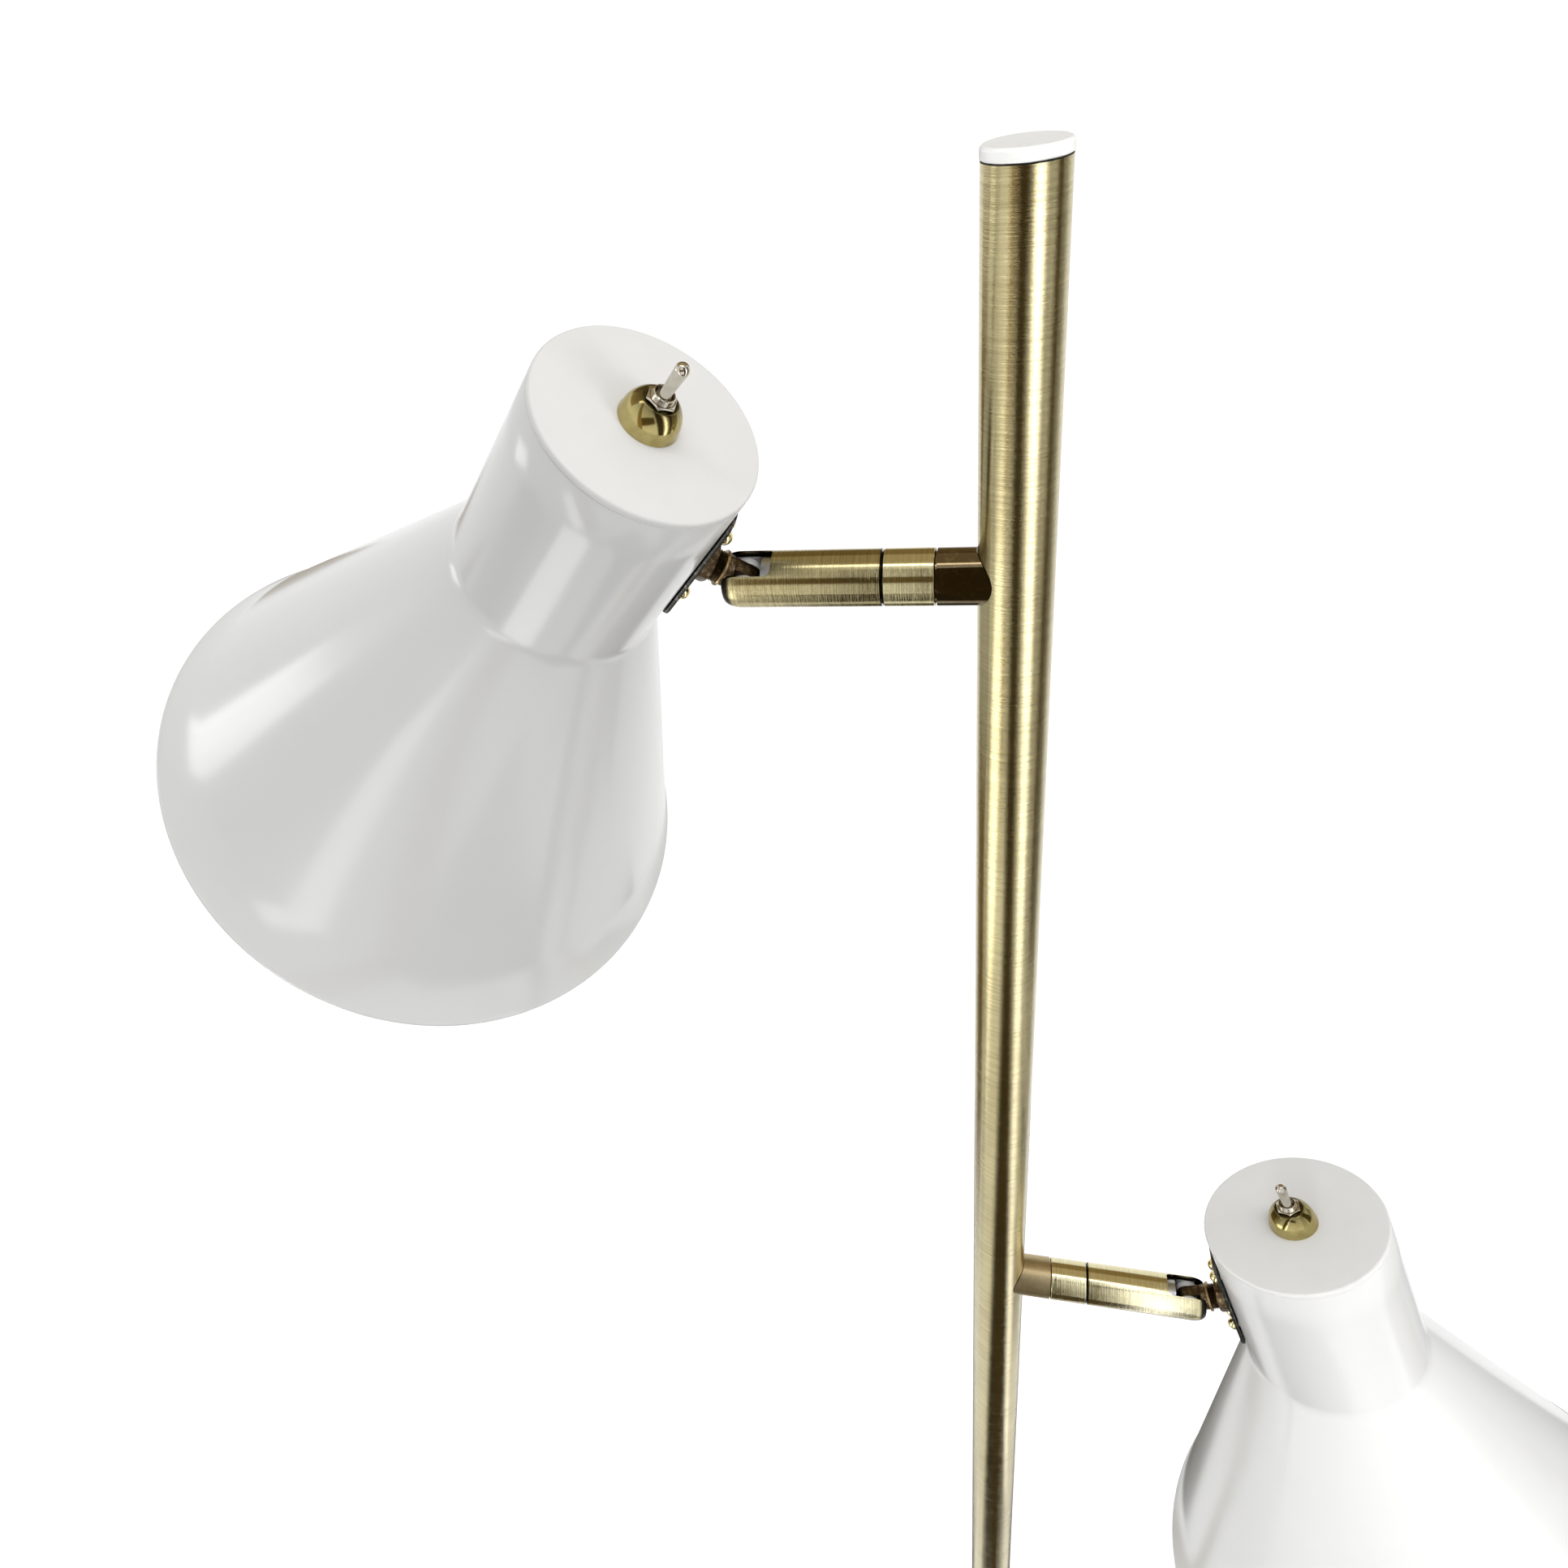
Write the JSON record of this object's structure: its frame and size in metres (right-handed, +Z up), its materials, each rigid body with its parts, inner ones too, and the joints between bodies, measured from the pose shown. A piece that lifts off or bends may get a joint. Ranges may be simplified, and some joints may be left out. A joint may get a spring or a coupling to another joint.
{
  "type": "floor lamp",
  "caption": "Slim brass pole floor lamp with white cone spot heads on swivel and tilt arms, a toggle switch on each head, and a weighted round base.",
  "frame": {"origin": "centre of the underside of the base pad, on the axis of the pole", "axes": "+Z up along the pole; arm 1, the upper one, points to -X and arm 2 to +X; the cord inlet is on the +Y side, at the back"},
  "size_m": [0.557, 0.2527, 1.6284],
  "materials": {
    "antique_brass": "circumferentially brushed antique brass, clear lacquer",
    "pale_brass": "finely brushed paler brass",
    "bronze": "dark bronzed plating",
    "polished_brass": "polished brass",
    "nickel": "bright nickel",
    "steel": "zinc plated steel",
    "iron": "cast iron",
    "white_gloss": "gloss white paint on spun aluminium",
    "white_matt": "matt white moulding",
    "white_nylon": "white nylon",
    "phenolic": "black phenolic",
    "switch_plastic": "dark switch housing",
    "pad": "closed-cell rubber",
    "rubber": "soft black rubber",
    "opal_glass": "opal glass"
  },
  "bodies": {
    "stand": {"base_pad": "pad", "base_weight": "iron", "base_washer": "steel", "base_nut": "steel", "base_stud": "steel", "base_cover": "antique_brass", "base_collar": "pale_brass", "cord_grommet": "rubber", "lower_pole": "antique_brass", "pole_coupler": "steel", "upper_pole": "antique_brass", "pole_cap": "white_matt", "arm_stub_1": "bronze", "arm_collar_1": "pale_brass", "arm_nipple_1": "steel", "arm_nut_1": "steel", "arm_stub_2": "bronze", "arm_collar_2": "pale_brass", "arm_nipple_2": "steel", "arm_nut_2": "steel"},
    "arm_1": {"arm_sleeve_1": "antique_brass", "arm_clevis_1": "steel", "pivot_washers_1": "white_nylon", "pivot_pin_1": "steel"},
    "head_1": {"knuckle_1": "bronze", "knuckle_ring_1": "polished_brass", "knuckle_nuts_1": "bronze", "mount_plate_1": "bronze", "plate_screws_1": "polished_brass", "shade_1": "white_gloss", "shade_lid_1": "white_matt", "holder_bracket_1": "steel", "lampholder_1": "phenolic", "bulb_cap_1": "nickel", "bulb_glass_1": "opal_glass", "switch_dome_1": "polished_brass", "switch_nut_1": "nickel", "switch_bushing_1": "nickel", "switch_body_1": "switch_plastic"},
    "lever_1": {"toggle_lever_1": "nickel"},
    "arm_2": {"arm_sleeve_2": "antique_brass", "arm_clevis_2": "steel", "pivot_washers_2": "white_nylon", "pivot_pin_2": "steel"},
    "head_2": {"knuckle_2": "bronze", "knuckle_ring_2": "polished_brass", "knuckle_nuts_2": "bronze", "mount_plate_2": "bronze", "plate_screws_2": "polished_brass", "shade_2": "white_gloss", "shade_lid_2": "white_matt", "holder_bracket_2": "steel", "lampholder_2": "phenolic", "bulb_cap_2": "nickel", "bulb_glass_2": "opal_glass", "switch_dome_2": "polished_brass", "switch_nut_2": "nickel", "switch_bushing_2": "nickel", "switch_body_2": "switch_plastic"},
    "lever_2": {"toggle_lever_2": "nickel"}
  },
  "joints": [
    {"name": "swivel_1", "type": "hinge", "parent": "stand", "child": "arm_1", "pos_m": [0, 0, 1.5227], "axis": [-1, 0, 0], "range_deg": [-151.6, 188.4]},
    {"name": "tilt_1", "type": "hinge", "parent": "arm_1", "child": "head_1", "pos_m": [-0.0735, 0, 1.5227], "axis": [0, 0.9489, 0.3156], "range_deg": [-37.6, 52.4]},
    {"name": "toggle_1", "type": "hinge", "parent": "head_1", "child": "lever_1", "pos_m": [-0.08496, -0.01972, 1.58198], "axis": [-0.7923, -0.1926, 0.579], "range_deg": [0, 28]},
    {"name": "swivel_2", "type": "hinge", "parent": "stand", "child": "arm_2", "pos_m": [0, 0, 1.1969], "axis": [1, 0, 0], "range_deg": [-162.2, 177.8]},
    {"name": "tilt_2", "type": "hinge", "parent": "arm_2", "child": "head_2", "pos_m": [0.0735, 0, 1.1969], "axis": [0, -0.9907, 0.1357], "range_deg": [-19.7, 70.3]},
    {"name": "toggle_2", "type": "hinge", "parent": "head_2", "child": "lever_2", "pos_m": [0.10361, 0.00759, 1.25231], "axis": [-0.9415, -0.0457, -0.334], "range_deg": [0, 28]}
  ]
}
